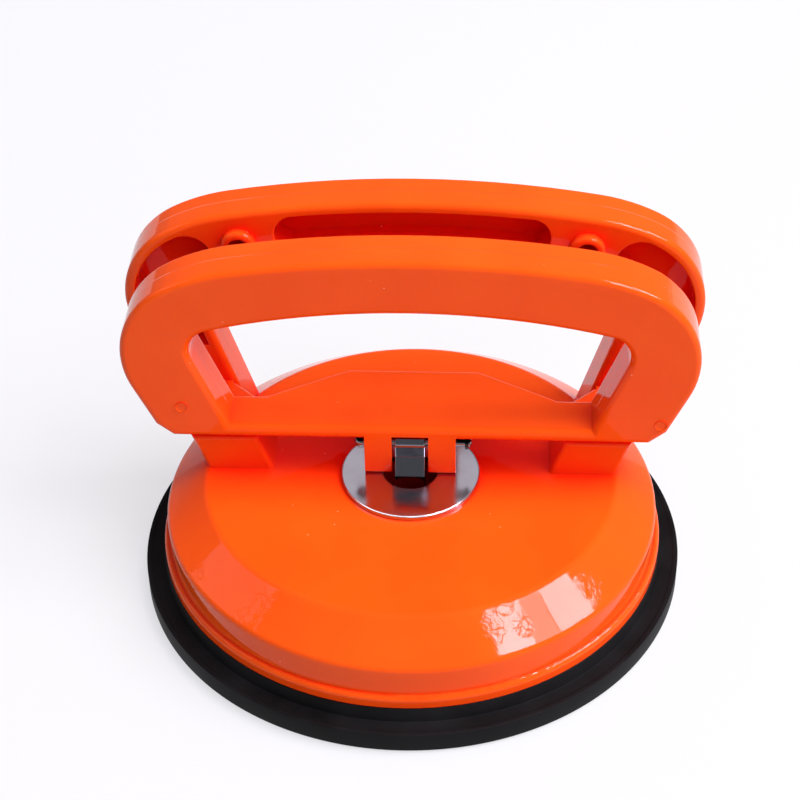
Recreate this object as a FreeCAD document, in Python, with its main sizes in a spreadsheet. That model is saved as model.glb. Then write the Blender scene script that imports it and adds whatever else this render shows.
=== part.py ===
import FreeCAD, Part
import math
import os
import re

import Sketcher
from FreeCAD import Vector

# A one-cup suction lifter for floor tiles: a rubber pad under a moulded shell with a fixed
# handle, and a hinged lever that works a cam on a steel washer to draw the pad's middle up.
# X runs across the handles, Y from the lever back to the fixed handle, Z up.
# The origin is the centre of the pad's sealing face. All sizes are in millimetres.

doc = FreeCAD.newDocument("tile_suction_lifter")
sheet = doc.addObject("Spreadsheet::Sheet", "size")

SIZES = (
    # rubber pad
    ("pad_radius", 59.0, "outer radius of the rubber pad"),
    ("pad_rim_height", 5.0, "height of the pad's outer rim"),
    ("pad_rim_chamfer", 0.6, "chamfer at the foot of the rim"),
    ("pad_step", 3.0, "rise from the rim's top to the shell's seat"),
    ("pad_step_slope", 0.6, "lean of that rise"),
    ("seal_width", 8.4, "width of the ring that touches the tile"),
    ("seal_groove_width", 1.6, "width of the groove in the sealing face"),
    ("seal_groove_depth", 0.9, "depth of the groove in the sealing face"),
    ("pad_lift", 2.4, "height of the pad's drawn-up middle over the tile"),
    ("membrane_thickness", 4.4, "thickness of the pad's middle"),
    ("membrane_slope", 9.0, "width of the slope between seal and middle"),
    # shell
    ("flange_width", 4.4, "width of rim that stays clear round the shell's flange"),
    ("flange_height", 3.0, "height of the shell's flange"),
    ("flange_step", 1.2, "ledge between flange and wall"),
    ("flange_foot", 0.35, "rounding of the flange's lower edge"),
    ("wall_height", 6.5, "height of the shell's upright wall"),
    ("cone_height", 6.5, "height of the shell's cone"),
    ("cone_width", 8.9, "width of the shell's cone"),
    ("flat_edge", 2.5, "rounding between flat top and cone"),
    ("cone_edge", 1.5, "rounding between cone and wall"),
    ("shell_thickness", 2.6, "wall thickness of the shell"),
    ("hub_hole_radius", 7.0, "hole that the link passes through"),
    ("hub_wall", 2.4, "wall of the tube round that hole"),
    ("hub_depth", 9.0, "length of that tube under the flat top"),
    ("rib_thickness", 1.8, "thickness of the ribs inside the shell"),
    ("rib_depth", 6.0, "depth of the ribs inside the shell"),
    ("rib_count", 8, "number of ribs inside the shell"),
    # cam washer
    ("washer_y", -1.0, "distance of the washer's centre behind the pad's centre"),
    ("washer_radius", 15.0, "outer radius of the cam washer"),
    ("washer_hole_radius", 5.8, "hole in the cam washer"),
    ("washer_thickness", 1.1, "thickness of the cam washer"),
    ("washer_edge", 0.3, "rounded edge of the cam washer"),
    # hinge
    ("pin_radius", 1.0, "radius of the hinge pin"),
    ("pin_clearance", 0.06, "radial running clearance round the pin"),
    ("pin_y", 0.0, "distance of the pin behind the pad's centre"),
    ("cam_height", 7.35, "pin axis over the underside of the lugs"),
    ("cam_gap", 0.15, "running gap between lugs and washer"),
    ("cam_drop", 0.8, "fall of the link while the lever opens"),
    ("cam_front", 2.0, "front of the lever before the pin axis"),
    ("cam_margin", 0.1, "clearance left round the cam while it turns"),
    ("pin_head_radius", 1.55, "radius of the pin's domed head"),
    ("pin_head_height", 1.9, "height of the pin's domed head"),
    ("pin_head_gap", 0.3, "play between head and lug"),
    ("clip_gap", 2.0, "play between clip and lug"),
    ("clip_radius", 1.55, "outer radius of the pin clip"),
    ("clip_thickness", 0.7, "thickness of the pin clip"),
    ("clip_groove", 0.35, "depth of the clip's groove in the pin"),
    ("pin_tail", 0.7, "length of pin beyond the clip"),
    # link
    ("strap_width", 6.5, "width of the link strap"),
    ("strap_thickness", 1.2, "thickness of the link strap"),
    ("strap_neck", 2.5, "height of the pin axis over the bend where the strap's legs flare"),
    ("strap_flare", 2.0, "how far the strap's front leg stands out below that bend"),
    ("strap_rear_flare", 0.4, "how far its rear leg does"),
    ("strap_flare_height", 3.8, "height over which they do so"),
    ("strap_foot", 13.0, "length of each foot from the strap's middle"),
    ("strap_edge", 0.35, "rounded edge of the strap"),
    ("insert_radius", 31.0, "radius of the steel insert"),
    ("insert_thickness", 2.0, "thickness of the steel insert"),
    ("rivet_radius", 1.8, "radius of the rivets"),
    ("rivet_head_radius", 3.0, "radius of the rivet heads"),
    ("rivet_head_height", 1.3, "height of the rivet heads"),
    ("rivet_offset", 8.6, "rivet axis from the strap's middle"),
    # both handles
    ("handle_top", 80.0, "top of both handles over the tile"),
    ("handle_half_width", 60.4, "half the width of both handles"),
    ("top_radius", 230.0, "radius of the handles' long top edge"),
    ("shoulder_radius", 42.0, "radius between top edge and corner"),
    ("shoulder_angle", 28.0, "slope where shoulder meets corner, degrees"),
    ("corner_radius", 20.0, "radius of the handles' upper corners"),
    ("side_angle", 24.0, "lean of the handles' sides, degrees"),
    ("handle_edge", 1.4, "rounding of the handles' long edges"),
    ("grip_height", 12.8, "height of the grip at its middle"),
    ("side_width", 14.6, "width of the handles' sides beside the finger opening"),
    ("window_radius", 168.0, "radius of the finger opening's top edge"),
    ("window_corner", 5.5, "radius of the finger opening's corners"),
    ("window_angle", 21.5, "lean of the finger opening's sides, degrees"),
    ("rim_wall", 2.3, "wall left round the handles' pockets"),
    ("web_thickness", 2.8, "wall left behind the handles' pockets"),
    ("pocket_edge", 0.35, "rounding of the pockets' mouths"),
    ("boss_inset", 23.6, "distance of the bosses from the handles' sides"),
    ("slot_gap", 10.8, "distance of the long pocket's rounded ends from the bosses"),
    ("boss_drop", 7.6, "depth of the bosses under the top edge"),
    ("boss_radius", 3.85, "outer radius of the bosses"),
    ("boss_bore", 2.4, "bore of the bosses"),
    ("boss_height", 2.0, "height of the bosses over the handle's face"),
    ("boss_edge", 1.1, "rounding of the bosses' outer edge"),
    ("boss_bore_depth", 9.0, "depth of the bosses' bore"),
    # lever
    ("lever_thickness", 11.3, "thickness of the lever"),
    ("bar_gap", 1.75, "underside of the lever's bar over the pin axis"),
    ("bar_height", 3.1, "thickness of the lever's bar"),
    ("lever_corner", 3.0, "height of the cut-off lower corners"),
    ("lever_corner_width", 3.6, "width of the cut-off lower corners"),
    ("bar_edge", 0.35, "rounding of the bar's lower rear edge"),
    ("shelf_edge", 0.8, "rounding of the bar's upper rear edge"),
    ("bar_back", 9.4, "how far the bar's middle reaches behind the lever"),
    ("bar_back_half_width", 14.4, "half the width of that reach at its back"),
    ("bar_front_half_width", 31.0, "half the width of that reach at its root"),
    ("lug_inner", 3.9, "inner face of the lugs from the middle"),
    ("lug_outer", 9.8, "outer face of the lugs from the middle"),
    ("lug_length", 8.4, "length of the lugs from the lever's front"),
    ("notch_gap", 0.4, "clearance round the link's eye in the bar"),
    ("lever_pocket_floor", 5.0, "height of the side pockets over the bar"),
    # fixed handle
    ("handle_gap", 10.7, "gap between lever and fixed handle"),
    ("fixed_wider", 2.4, "how much further out the fixed handle's ends stand than the lever's"),
    ("fixed_window_wider", 1.1, "how much further out the sides of its finger opening are"),
    ("fixed_thickness", 11.0, "thickness of the fixed handle"),
    ("foot_front", 0.2, "front of the fixed handle's feet behind the centre"),
    ("foot_height", 8.8, "height of the feet over the flat top"),
    ("foot_inset", 0.1, "outer edge of the feet from the flat top's edge"),
    ("foot_width", 14.5, "width of the feet at the flat top"),
    ("foot_lean", 3.2, "outward lean of the feet over their height"),
    ("foot_taper", 10.0, "length of the taper from the feet back to the legs"),
    ("foot_edge", 1.0, "rounding of the feet's edges"),
    ("leg_width", 7.2, "width of the legs at the flat top"),
)

for row, (name, number, meaning) in enumerate(SIZES, start=1):
    sheet.set("A%d" % row, meaning)
    sheet.set("B%d" % row, str(number))
    sheet.setAlias("B%d" % row, name)
doc.recompute()

NAMES = sorted((name for name, _, _ in SIZES), key=len, reverse=True)
NAME_PATTERN = re.compile(r"\b(" + "|".join(NAMES) + r")\b")

# Places that several pieces share, as expressions of the sheet's sizes.
SEAT = "(pad_rim_height + pad_step)"
MEMBRANE_TOP = "(pad_lift + membrane_thickness)"
FLANGE_RADIUS = "(pad_radius - flange_width)"
WALL_RADIUS = "(pad_radius - flange_width - flange_step)"
FLAT_RADIUS = "(pad_radius - flange_width - flange_step - cone_width)"
FLAT_TOP = "(%s + flange_height + wall_height + cone_height)" % SEAT
WASHER_TOP = "(%s + washer_thickness)" % FLAT_TOP
PIN_Z = "(%s + cam_gap + cam_height)" % WASHER_TOP
STRAP_INNER = "(pin_radius + pin_clearance)"
STRAP_OUTER = "(%s + strap_thickness)" % STRAP_INNER
BAR_BOTTOM = "(%s + bar_gap)" % PIN_Z
BAR_TOP = "(%s + bar_height)" % BAR_BOTTOM
LEVER_FRONT = "(pin_y - cam_front)"
LEVER_BACK = "(%s + lever_thickness)" % LEVER_FRONT
FIXED_FRONT = "(%s + handle_gap)" % LEVER_BACK
FIXED_BACK = "(%s + fixed_thickness)" % FIXED_FRONT
CORNER_X = "(handle_half_width - corner_radius)"
WINDOW_X = "(handle_half_width - side_width - window_corner)"
BOSS_X = "(handle_half_width - boss_inset)"
SLOT_X = "(%s - slot_gap)" % BOSS_X
FOOT_OUTER = "(%s - foot_inset)" % FLAT_RADIUS
FOOT_INNER = "(%s - foot_width)" % FOOT_OUTER
LEG_INNER = "(%s - leg_width)" % FOOT_OUTER
CLIP_X = "(lug_outer + clip_gap)"


def bound(text):
    """The expression with each size named in the sheet."""
    return NAME_PATTERN.sub(r"size.\1", text)


def number(text):
    """The present value of an expression of the sheet's sizes."""
    result = sheet.evalExpression(bound(text))
    return float(getattr(result, "Value", result))


def add_body(name):
    body = doc.addObject("PartDesign::Body", name)
    body.Label = name
    return body


def add_sketch(body, name, plane, across="0", up="0", out="0"):
    """A sketch on one of the body's own planes, its origin moved along the sketch's own axes."""
    sketch = body.newObject("Sketcher::SketchObject", name)
    planes = [item for item in body.Origin.OriginFeatures if item.Role == plane]
    sketch.AttachmentSupport = (planes[0], "")
    sketch.MapMode = "FlatFace"
    for axis, text in zip("xyz", (across, up, out)):
        if text != "0":
            sketch.setExpression("AttachmentOffset.Base." + axis, bound(text))
    return sketch


def hold(sketch, kind, place, text):
    """A dimension of the sketch that follows an expression."""
    if text == "0" and kind in ("DistanceX", "DistanceY"):
        axis = -2 if kind == "DistanceX" else -1
        sketch.addConstraint(Sketcher.Constraint("PointOnObject", *place, axis))
        return
    first = (-1, 1) if kind in ("DistanceX", "DistanceY") else ()
    index = sketch.addConstraint(Sketcher.Constraint(kind, *first, *place, number(text)))
    sketch.setExpression("Constraints[%d]" % index, bound(text))


def draw(sketch, corners):
    """A closed outline through (across, up) corners. A third item rounds the edge that follows:
    its radius, with a minus sign before it where the edge turns clockwise."""
    points = [Vector(number(corner[0]), number(corner[1]), 0) for corner in corners]
    starts = []
    ends = []
    for index, corner in enumerate(corners):
        here = points[index]
        there = points[(index + 1) % len(points)]
        if len(corner) == 2:
            edge = sketch.addGeometry(Part.LineSegment(here, there), False)
            starts.append((edge, 1))
            ends.append((edge, 2))
            continue
        clockwise = corner[2].startswith("-")
        radius_text = corner[2].lstrip("-")
        radius = number(radius_text)
        first, last = (there, here) if clockwise else (here, there)
        half = (last - first) * 0.5
        rise = math.sqrt(max(radius * radius - half.Length * half.Length, 0.0))
        inward = Vector(-half.y, half.x, 0).normalize()
        middle = first + half + inward * rise
        angles = [math.atan2(point.y - middle.y, point.x - middle.x) for point in (first, last)]
        circle = Part.Circle(middle, Vector(0, 0, 1), radius)
        edge = sketch.addGeometry(Part.ArcOfCircle(circle, angles[0], angles[1]), False)
        starts.append((edge, 2 if clockwise else 1))
        ends.append((edge, 1 if clockwise else 2))
        hold(sketch, "Radius", (edge,), radius_text)
    for index, corner in enumerate(corners):
        sketch.addConstraint(Sketcher.Constraint("Coincident", *ends[index - 1], *starts[index]))
        hold(sketch, "DistanceX", starts[index], corner[0])
        hold(sketch, "DistanceY", starts[index], corner[1])


def draw_circle(sketch, across, up, radius):
    centre = Vector(number(across), number(up), 0)
    circle = sketch.addGeometry(Part.Circle(centre, Vector(0, 0, 1), number(radius)), False)
    hold(sketch, "DistanceX", (circle, 3), across)
    hold(sketch, "DistanceY", (circle, 3), up)
    hold(sketch, "Radius", (circle,), radius)


def extrude(body, kind, sketch, length, both_ways=False, reverse=False):
    """A pad or pocket; a pocket's result is checked against the solid before it."""
    before = 0 if body.Shape.isNull() else body.Shape.Volume
    feature = body.newObject("PartDesign::" + kind, sketch.Name + "_" + kind.lower())
    feature.Profile = sketch
    feature.SideType = "Symmetric" if both_ways else "One side"
    feature.Reversed = reverse
    feature.setExpression("Length", bound(length))
    doc.recompute()
    grew = body.Shape.Volume - before
    if grew == 0 or (grew > 0) != (kind == "Pad"):
        raise RuntimeError("%s changed nothing or the wrong way" % feature.Name)
    return feature


def turn(body, kind, sketch, axis):
    feature = body.newObject("PartDesign::" + kind, sketch.Name + "_" + kind.lower())
    feature.Profile = sketch
    feature.ReferenceAxis = (sketch, [axis])
    feature.Angle = 360
    doc.recompute()
    return feature


def turned_body(name, corners):
    """A body of one profile of (radius, height) corners turned about the Z axis."""
    body = add_body(name)
    sketch = add_sketch(body, name + "_profile", "XZ_Plane")
    draw(sketch, corners)
    turn(body, "Revolution", sketch, "V_Axis")
    return body


def soften(body, kind, name, size, wanted):
    """A fillet or chamfer on each edge of the body that the test wanted accepts."""
    base = body.Tip
    edges = ["Edge%d" % (index + 1) for index, edge in enumerate(base.Shape.Edges) if wanted(edge)]
    if not edges:
        raise RuntimeError("no edge for " + name)
    feature = body.newObject("PartDesign::" + kind, name)
    feature.Base = (base, edges)
    feature.setExpression("Radius" if kind == "Fillet" else "Size", bound(size))
    doc.recompute()
    return feature


def close(first, second):
    return abs(first - second) < 0.01


def ring_at(radius, height):
    """A test for the circle of that radius and height about the Z axis."""
    def wanted(edge):
        box = edge.BoundBox
        return close(box.ZMin, height) and close(box.ZMax, height) and close(box.XMax, radius)
    return wanted


def combine(kind, name, pieces):
    result = doc.addObject("Part::" + kind, name)
    if kind == "Cut":
        result.Base, result.Tool = pieces
    else:
        result.Shapes = pieces
    result.Label = name
    doc.recompute()
    return result


# ---- outlines of the two handles -----------------------------------------------------------

def handle_corner(inset, wider="0"):
    """Corners of a handle's outer outline on the right, from the side up to the top edge."""
    corner_x = "(%s + %s)" % (CORNER_X, wider)
    run = "(%s - (shoulder_radius - corner_radius) * sin(shoulder_angle * 1 deg))" % corner_x
    sine = "(%s / (top_radius - shoulder_radius))" % run
    cosine = "sqrt(1 - %s * %s)" % (sine, sine)
    top_z = "(handle_top - top_radius)"
    shoulder_z = "(%s + (top_radius - shoulder_radius) * %s)" % (top_z, cosine)
    corner_z = "(%s + (shoulder_radius - corner_radius) * cos(shoulder_angle * 1 deg))" % shoulder_z
    top = "(top_radius - %s)" % inset
    shoulder = "(shoulder_radius - %s)" % inset
    corner = "(corner_radius - %s)" % inset
    side = ("(%s + %s * cos(side_angle * 1 deg))" % (corner_x, corner),
            "(%s - %s * sin(side_angle * 1 deg))" % (corner_z, corner))
    turn_point = ("(%s + %s * sin(shoulder_angle * 1 deg))" % (corner_x, corner),
                  "(%s + %s * cos(shoulder_angle * 1 deg))" % (corner_z, corner))
    top_end = ("(%s * %s)" % (top, sine), "(%s + %s * %s)" % (top_z, top, cosine))
    return {"side": side, "turn": turn_point, "top_end": top_end,
            "corner": corner, "shoulder": shoulder, "top": top,
            "corner_x": corner_x, "corner_z": corner_z}


def window_corner(outset, wider="0"):
    """Corners of the finger opening on the right, from the side up to its top edge."""
    corner_x = "(%s + %s)" % (WINDOW_X, wider)
    sine = "(%s / (window_radius - window_corner))" % corner_x
    cosine = "sqrt(1 - %s * %s)" % (sine, sine)
    top_z = "(handle_top - grip_height - window_radius)"
    corner_z = "(%s + (window_radius - window_corner) * %s)" % (top_z, cosine)
    corner = "(window_corner + %s)" % outset
    top = "(window_radius + %s)" % outset
    side = ("(%s + %s * cos(window_angle * 1 deg))" % (corner_x, corner),
            "(%s - %s * sin(window_angle * 1 deg))" % (corner_z, corner))
    top_end = ("(%s * %s)" % (top, sine), "(%s + %s * %s)" % (top_z, top, cosine))
    return {"side": side, "top_end": top_end, "corner": corner, "top": top,
            "corner_x": corner_x, "corner_z": corner_z, "top_z": top_z}


def down_to(start, angle, height):
    """Where a side that leans inward by the angle reaches the height."""
    return "(%s - (%s - %s) * tan(%s * 1 deg))" % (start[0], start[1], height, angle)


def mirrored(point):
    return ("-" + point[0], point[1])


def over_the_top(shape):
    """Corners and arcs of an outer outline from its right side over the top to its left."""
    return [(*shape["side"], shape["corner"]),
            (*shape["turn"], shape["shoulder"]),
            (*shape["top_end"], shape["top"]),
            (*mirrored(shape["top_end"]), shape["shoulder"]),
            (*mirrored(shape["turn"]), shape["corner"]),
            mirrored(shape["side"])]


def under_the_top(shape, backwards=False):
    """Corners and arcs of the finger opening from its left side over its top to its right."""
    turn_sign = "-" if backwards else ""
    path = [shape["side"], shape["top_end"], mirrored(shape["top_end"]), mirrored(shape["side"])]
    if backwards:
        path.reverse()
    radii = (shape["corner"], shape["top"], shape["corner"])
    arcs = [(*point, turn_sign + radius) for point, radius in zip(path, radii)]
    return arcs + [path[3]]


OUTER = handle_corner("0")
WINDOW = window_corner("0")
CUT_HEIGHT = "(%s + lever_corner)" % BAR_BOTTOM
CUT_TOP = down_to(OUTER["side"], "side_angle", CUT_HEIGHT)
CUT_FOOT = "(%s - lever_corner_width)" % CUT_TOP


# ---- rubber pad, insert, link --------------------------------------------------------------

def make_rubber_pad():
    seal_inner = "(pad_radius - pad_rim_chamfer - seal_width)"
    groove_middle = "(pad_radius - pad_rim_chamfer - seal_width / 2)"
    groove_half = "(seal_groove_width / 2)"
    step_radius = "(%s + pad_step_slope)" % FLANGE_RADIUS
    seat_inner = "(%s - shell_thickness)" % WALL_RADIUS
    recess_floor = "(%s - insert_thickness)" % MEMBRANE_TOP
    return turned_body("rubber_pad", [
        ("0", "pad_lift"),
        ("(%s - membrane_slope)" % seal_inner, "pad_lift"),
        (seal_inner, "0"),
        ("(%s - %s)" % (groove_middle, groove_half), "0"),
        (groove_middle, "seal_groove_depth"),
        ("(%s + %s)" % (groove_middle, groove_half), "0"),
        ("(pad_radius - pad_rim_chamfer)", "0"),
        ("pad_radius", "pad_rim_chamfer"),
        ("pad_radius", "pad_rim_height"),
        (step_radius, "pad_rim_height"),
        (FLANGE_RADIUS, SEAT),
        (seat_inner, SEAT),
        ("(%s - pad_step / 2)" % seat_inner, MEMBRANE_TOP),
        ("insert_radius", MEMBRANE_TOP),
        ("insert_radius", recess_floor),
        ("0", recess_floor)])


def make_insert_plate():
    body = add_body("insert_plate")
    floor = "(%s - insert_thickness)" % MEMBRANE_TOP
    sketch = add_sketch(body, "insert_disc", "XY_Plane", out=floor)
    draw_circle(sketch, "0", "0", "insert_radius")
    extrude(body, "Pad", sketch, "insert_thickness")
    holes = add_sketch(body, "insert_holes", "XY_Plane", out=floor)
    for side in ("+", "-"):
        draw_circle(holes, "0", "(pin_y %s rivet_offset)" % side, "rivet_radius")
    extrude(body, "Pocket", holes, "insert_thickness", reverse=True)
    return body


def make_link_strap():
    """A steel strip over the pin: two legs through the shell and two feet on the insert."""
    body = add_body("link_strap")
    sketch = add_sketch(body, "strap_side", "YZ_Plane")
    foot_top = "(%s + strap_thickness)" % MEMBRANE_TOP
    front_inner = "(pin_y - %s - strap_flare)" % STRAP_INNER
    front_outer = "(pin_y - %s - strap_flare)" % STRAP_OUTER
    rear_inner = "(pin_y + %s + strap_rear_flare)" % STRAP_INNER
    rear_outer = "(pin_y + %s + strap_rear_flare)" % STRAP_OUTER
    neck = "(%s - strap_neck)" % PIN_Z
    flared = "(%s - strap_flare_height)" % neck
    draw(sketch, [
        ("(pin_y - strap_foot)", MEMBRANE_TOP),
        (front_inner, MEMBRANE_TOP),
        (front_inner, flared),
        ("(pin_y - %s)" % STRAP_INNER, neck),
        ("(pin_y - %s)" % STRAP_INNER, PIN_Z, "-" + STRAP_INNER),
        ("pin_y", "(%s + %s)" % (PIN_Z, STRAP_INNER), "-" + STRAP_INNER),
        ("(pin_y + %s)" % STRAP_INNER, PIN_Z),
        ("(pin_y + %s)" % STRAP_INNER, neck),
        (rear_inner, flared),
        (rear_inner, MEMBRANE_TOP),
        ("(pin_y + strap_foot)", MEMBRANE_TOP),
        ("(pin_y + strap_foot)", foot_top),
        (rear_outer, foot_top),
        (rear_outer, flared),
        ("(pin_y + %s)" % STRAP_OUTER, neck),
        ("(pin_y + %s)" % STRAP_OUTER, PIN_Z, STRAP_OUTER),
        ("pin_y", "(%s + %s)" % (PIN_Z, STRAP_OUTER), STRAP_OUTER),
        ("(pin_y - %s)" % STRAP_OUTER, PIN_Z),
        ("(pin_y - %s)" % STRAP_OUTER, neck),
        (front_outer, flared),
        (front_outer, foot_top),
        ("(pin_y - strap_foot)", foot_top)])
    extrude(body, "Pad", sketch, "strap_width", both_ways=True)
    half_width = number("strap_width / 2")
    at_neck = number(STRAP_OUTER)

    def outer_edge(edge):
        box = edge.BoundBox
        middle = edge.CenterOfMass
        on_side = close(abs(box.XMin), half_width) and close(box.XMin, box.XMax)
        share = (number(neck) - middle.z) / number("strap_flare_height")
        flare = number("strap_flare" if middle.y < number("pin_y") else "strap_rear_flare")
        expected = at_neck + flare * min(max(share, 0), 1)
        is_leg = close(abs(middle.y - number("pin_y")), expected) and box.ZLength > 1
        is_eye = box.ZMin > number(PIN_Z) - 0.01 and close(box.YLength, at_neck)
        return on_side and (is_leg or is_eye)

    soften(body, "Fillet", "strap_rounding", "strap_edge", outer_edge)
    holes = add_sketch(body, "strap_holes", "XY_Plane", out=MEMBRANE_TOP)
    for side in ("+", "-"):
        draw_circle(holes, "0", "(pin_y %s rivet_offset)" % side, "rivet_radius")
    extrude(body, "Pocket", holes, "strap_thickness", reverse=True)
    return body


def make_rivet(name, side):
    body = add_body(name)
    floor = "(%s - insert_thickness)" % MEMBRANE_TOP
    foot_top = "(%s + strap_thickness)" % MEMBRANE_TOP
    crown = "((rivet_head_radius ^ 2 + rivet_head_height ^ 2) / (2 * rivet_head_height))"
    across = "(pin_y %s rivet_offset)" % side
    sketch = add_sketch(body, name + "_profile", "YZ_Plane", across=across)
    draw(sketch, [
        ("0", floor),
        ("rivet_radius", floor),
        ("rivet_radius", foot_top),
        ("rivet_head_radius", foot_top, crown),
        ("0", "(%s + rivet_head_height)" % foot_top)])
    turn(body, "Revolution", sketch, "V_Axis")
    return body


def make_hinge_pin():
    body = add_body("hinge_pin")
    sketch = add_sketch(body, "pin_profile", "XZ_Plane", up=PIN_Z, out="-pin_y")
    head = "-(lug_outer + pin_head_gap)"
    head_end = "-(lug_outer + pin_head_gap + pin_head_height)"
    tip = "(%s + clip_thickness + pin_tail)" % CLIP_X
    neck = "(pin_radius - clip_groove)"
    bevel = "(pin_tail / 2)"
    crown = "((pin_head_radius ^ 2 + (pin_head_height - 0.5) ^ 2) / (2 * (pin_head_height - 0.5)))"
    draw(sketch, [
        (head_end, "0"),
        (tip, "0"),
        (tip, "(pin_radius - %s)" % bevel),
        ("(%s - %s)" % (tip, bevel), "pin_radius"),
        ("(%s + clip_thickness)" % CLIP_X, "pin_radius"),
        ("(%s + clip_thickness)" % CLIP_X, neck),
        (CLIP_X, neck),
        (CLIP_X, "pin_radius"),
        (head, "pin_radius"),
        (head, "pin_head_radius"),
        ("(%s - 0.5)" % head, "pin_head_radius", crown)])
    turn(body, "Revolution", sketch, "H_Axis")
    return body


def make_pin_clip():
    """A flat ring with a gap, snapped into the pin's groove."""
    body = add_body("pin_clip")
    sketch = add_sketch(body, "clip_ring", "YZ_Plane", across="pin_y", up=PIN_Z, out=CLIP_X)
    draw_circle(sketch, "0", "0", "clip_radius")
    draw_circle(sketch, "0", "0", "(pin_radius - clip_groove)")
    extrude(body, "Pad", sketch, "clip_thickness")
    gap = add_sketch(body, "clip_gap_cut", "YZ_Plane", across="pin_y", up=PIN_Z, out=CLIP_X)
    half_gap = "((pin_radius - clip_groove) * 0.7)"
    draw(gap, [
        ("-" + half_gap, "-(clip_radius + 1)"),
        (half_gap, "-(clip_radius + 1)"),
        (half_gap, "0"),
        ("-" + half_gap, "0")])
    extrude(body, "Pocket", gap, "clip_thickness", reverse=True)
    return body


def make_cam_washer():
    body = add_body("cam_washer")
    sketch = add_sketch(body, "washer_ring", "XY_Plane", out=FLAT_TOP)
    draw_circle(sketch, "0", "washer_y", "washer_radius")
    draw_circle(sketch, "0", "washer_y", "washer_hole_radius")
    extrude(body, "Pad", sketch, "washer_thickness")
    top = number(WASHER_TOP)
    soften(body, "Fillet", "washer_rounding", "washer_edge",
           lambda edge: close(edge.BoundBox.ZMin, top) and edge.BoundBox.XLength > 1)
    return body


# ---- handles -------------------------------------------------------------------------------

def add_pockets(body, face, floor_z, lean, cut_reverse, wider="0", window_wider="0"):
    """The long pocket under the top edge and one pocket down each side, open at the face.
    The lean is how far a side pocket's inner wall moves in for each millimetre down."""
    outer = handle_corner("rim_wall", wider)
    window = window_corner("rim_wall", window_wider)
    depth = "(%s - web_thickness)" % ("lever_thickness" if cut_reverse else "fixed_thickness")
    top_z = "(handle_top - top_radius)"
    high = "(%s + sqrt(%s ^ 2 - %s ^ 2))" % (top_z, outer["top"], SLOT_X)
    low = "(%s + sqrt(%s ^ 2 - %s ^ 2))" % (window["top_z"], window["top"], SLOT_X)
    end = "((%s - %s) / 2 * 1.05)" % (high, low)
    standing = [edge.CenterOfMass for edge in body.Shape.Edges]
    slot = add_sketch(body, body.Name + "_slot", "XZ_Plane", out="-" + face)
    draw(slot, [
        (SLOT_X, low, end),
        (SLOT_X, high, outer["top"]),
        ("-" + SLOT_X, high, end),
        ("-" + SLOT_X, low, "-" + window["top"])])
    extrude(body, "Pocket", slot, depth, reverse=cut_reverse)
    outer_low = down_to(outer["side"], "side_angle", floor_z)
    inner_low = "(%s - (%s - %s) * %s)" % (*window["side"], floor_z, lean)
    shoulder = ("(%s + %s * cos(62 deg))" % (outer["corner_x"], outer["corner"]),
                "(%s + %s * sin(62 deg))" % (outer["corner_z"], outer["corner"]))
    inner = ("(%s + %s * cos(75 deg))" % (window["corner_x"], window["corner"]),
             "(%s + %s * sin(75 deg))" % (window["corner_z"], window["corner"]))
    rise = "(%s - %s)" % (shoulder[1], inner[1])
    cap = "(sqrt((%s - %s) ^ 2 + %s ^ 2) / 2 * 1.05)" % (shoulder[0], inner[0], rise)
    for hand, mark in (("right", ""), ("left", "-")):
        side = add_sketch(body, "%s_%s_pocket" % (body.Name, hand), "XZ_Plane", out="-" + face)
        turn_mark = "" if hand == "right" else "-"
        other_mark = "-" if hand == "right" else ""
        draw(side, [
            (mark + inner_low, floor_z),
            (mark + outer_low, floor_z),
            (mark + outer["side"][0], outer["side"][1], turn_mark + outer["corner"]),
            (mark + shoulder[0], shoulder[1], turn_mark + cap),
            (mark + inner[0], inner[1], other_mark + window["corner"]),
            (mark + window["side"][0], window["side"][1])])
        extrude(body, "Pocket", side, depth, reverse=cut_reverse)
    face_y = number(face)

    def mouth(edge):
        box = edge.BoundBox
        is_new = all((edge.CenterOfMass - middle).Length > 0.01 for middle in standing)
        return is_new and close(box.YMin, face_y) and close(box.YMax, face_y)

    soften(body, "Fillet", body.Name + "_mouth_rounding", "pocket_edge", mouth)


def add_bosses(body, face, outward):
    """Two short tubes on the face, to either side of the long pocket."""
    fall = "(top_radius - sqrt(top_radius ^ 2 - %s ^ 2))" % BOSS_X
    height = "(handle_top - boss_drop - %s)" % fall
    bosses = add_sketch(body, body.Name + "_bosses", "XZ_Plane", out="-" + face)
    bores = add_sketch(body, body.Name + "_boss_bores", "XZ_Plane",
                       out="-(%s %s boss_height)" % (face, "+" if outward else "-"))
    for mark in ("", "-"):
        draw_circle(bosses, mark + BOSS_X, height, "boss_radius")
        draw_circle(bores, mark + BOSS_X, height, "boss_bore")
    extrude(body, "Pad", bosses, "boss_height", reverse=outward)
    end = number("(%s %s boss_height)" % (face, "+" if outward else "-"))
    soften(body, "Fillet", body.Name + "_boss_rounding", "boss_edge",
           lambda edge: close(edge.BoundBox.YMin, end) and close(edge.BoundBox.YMax, end))
    extrude(body, "Pocket", bores, "boss_bore_depth", reverse=outward)


def face_edges(front, back, lowest):
    """A test for edges that lie in a handle's front or back face, above a height."""
    def wanted(edge):
        box = edge.BoundBox
        flat = close(box.YMin, box.YMax)
        return flat and (close(box.YMin, front) or close(box.YMin, back)) and box.ZMax > lowest
    return wanted


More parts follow.
